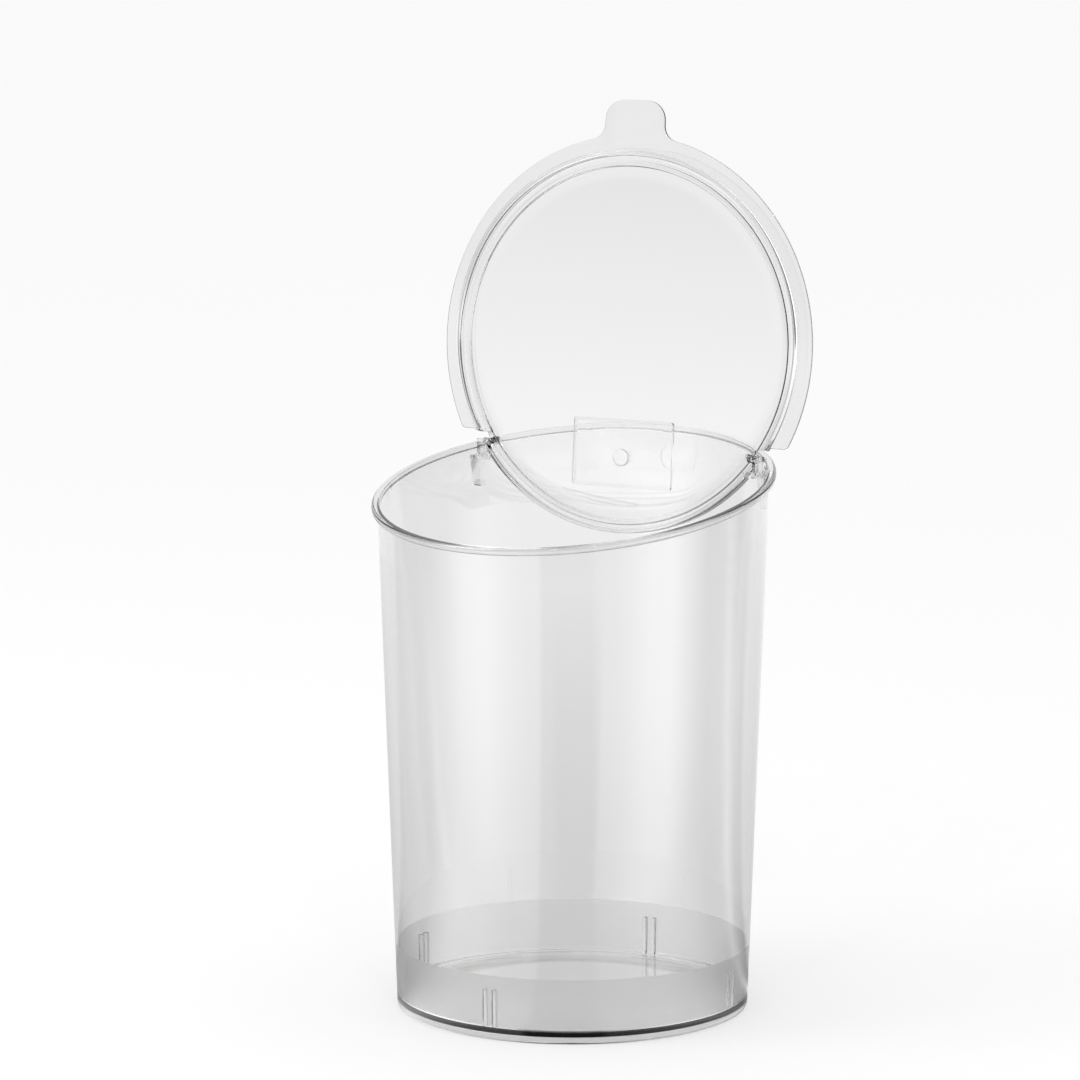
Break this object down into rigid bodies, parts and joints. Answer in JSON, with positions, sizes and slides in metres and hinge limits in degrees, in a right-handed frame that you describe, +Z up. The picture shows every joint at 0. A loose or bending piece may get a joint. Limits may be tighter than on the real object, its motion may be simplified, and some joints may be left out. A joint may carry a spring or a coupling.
{
  "type": "storage jar",
  "caption": "Clear round storage jar with a slanted mouth and a flat lid that hinges open inside the rear of the rim.",
  "frame": {"origin": "centre of the foot, on the surface that the jar stands on", "axes": "+Z up, -Y towards the low front of the slanted mouth, +X to the right seen from the front"},
  "size_m": [0.2885, 0.2809, 0.6277],
  "materials": {
    "canister_clear": "clear, moulded, with a frosted band round the foot",
    "lid_clear": "clear, moulded",
    "bracket_clear": "clear, moulded",
    "pin_clear": "clear, moulded",
    "holder_clear": "clear, moulded",
    "stud_clear": "clear, moulded"
  },
  "bodies": {
    "canister": {"canister": "canister_clear", "hinge_bracket_left": "bracket_clear", "hinge_bracket_right": "bracket_clear"},
    "lid": {"lid": "lid_clear", "hinge_pin_left": "pin_clear", "hinge_pin_right": "pin_clear", "label_holder": "holder_clear", "holder_stud": "stud_clear"}
  },
  "joints": [
    {"name": "lid_hinge", "type": "hinge", "parent": "canister", "child": "lid", "pos_m": [0, 0.07458, 0.38266], "axis": [1, 0, 0], "range_deg": [0, 105.4]}
  ]
}
